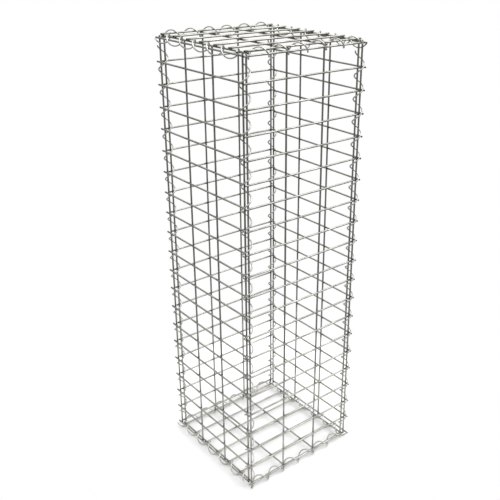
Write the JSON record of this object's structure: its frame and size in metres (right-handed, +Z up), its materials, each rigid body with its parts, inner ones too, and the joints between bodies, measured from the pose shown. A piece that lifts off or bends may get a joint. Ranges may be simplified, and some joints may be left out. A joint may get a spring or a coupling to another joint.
{
  "type": "gabion basket",
  "caption": "Empty free-standing gabion basket: a tall square column of welded steel mesh panels with lid and base, laced along every edge by wire spirals.",
  "frame": {"origin": "middle of the footprint, on the floor that the bottom spirals stand on", "axes": "+Z up, +X to the right and -Y out of the front panel"},
  "size_m": [0.3286, 0.3286, 1.0316],
  "materials": {
    "mesh_wire": "zinc-coated drawn wire, dull grey with fine spangle",
    "spiral_wire": "zinc-coated spring wire, a little brighter than the mesh"
  },
  "bodies": {
    "root": {"front_panel": "mesh_wire", "right_panel": "mesh_wire", "back_panel": "mesh_wire", "left_panel": "mesh_wire", "lid": "mesh_wire", "base": "mesh_wire", "front_left_corner_spiral": "spiral_wire", "front_right_corner_spiral": "spiral_wire", "back_right_corner_spiral": "spiral_wire", "back_left_corner_spiral": "spiral_wire", "front_top_spiral": "spiral_wire", "right_top_spiral": "spiral_wire", "back_top_spiral": "spiral_wire", "left_top_spiral": "spiral_wire", "front_bottom_spiral": "spiral_wire", "right_bottom_spiral": "spiral_wire", "back_bottom_spiral": "spiral_wire", "left_bottom_spiral": "spiral_wire"}
  },
  "joints": []
}
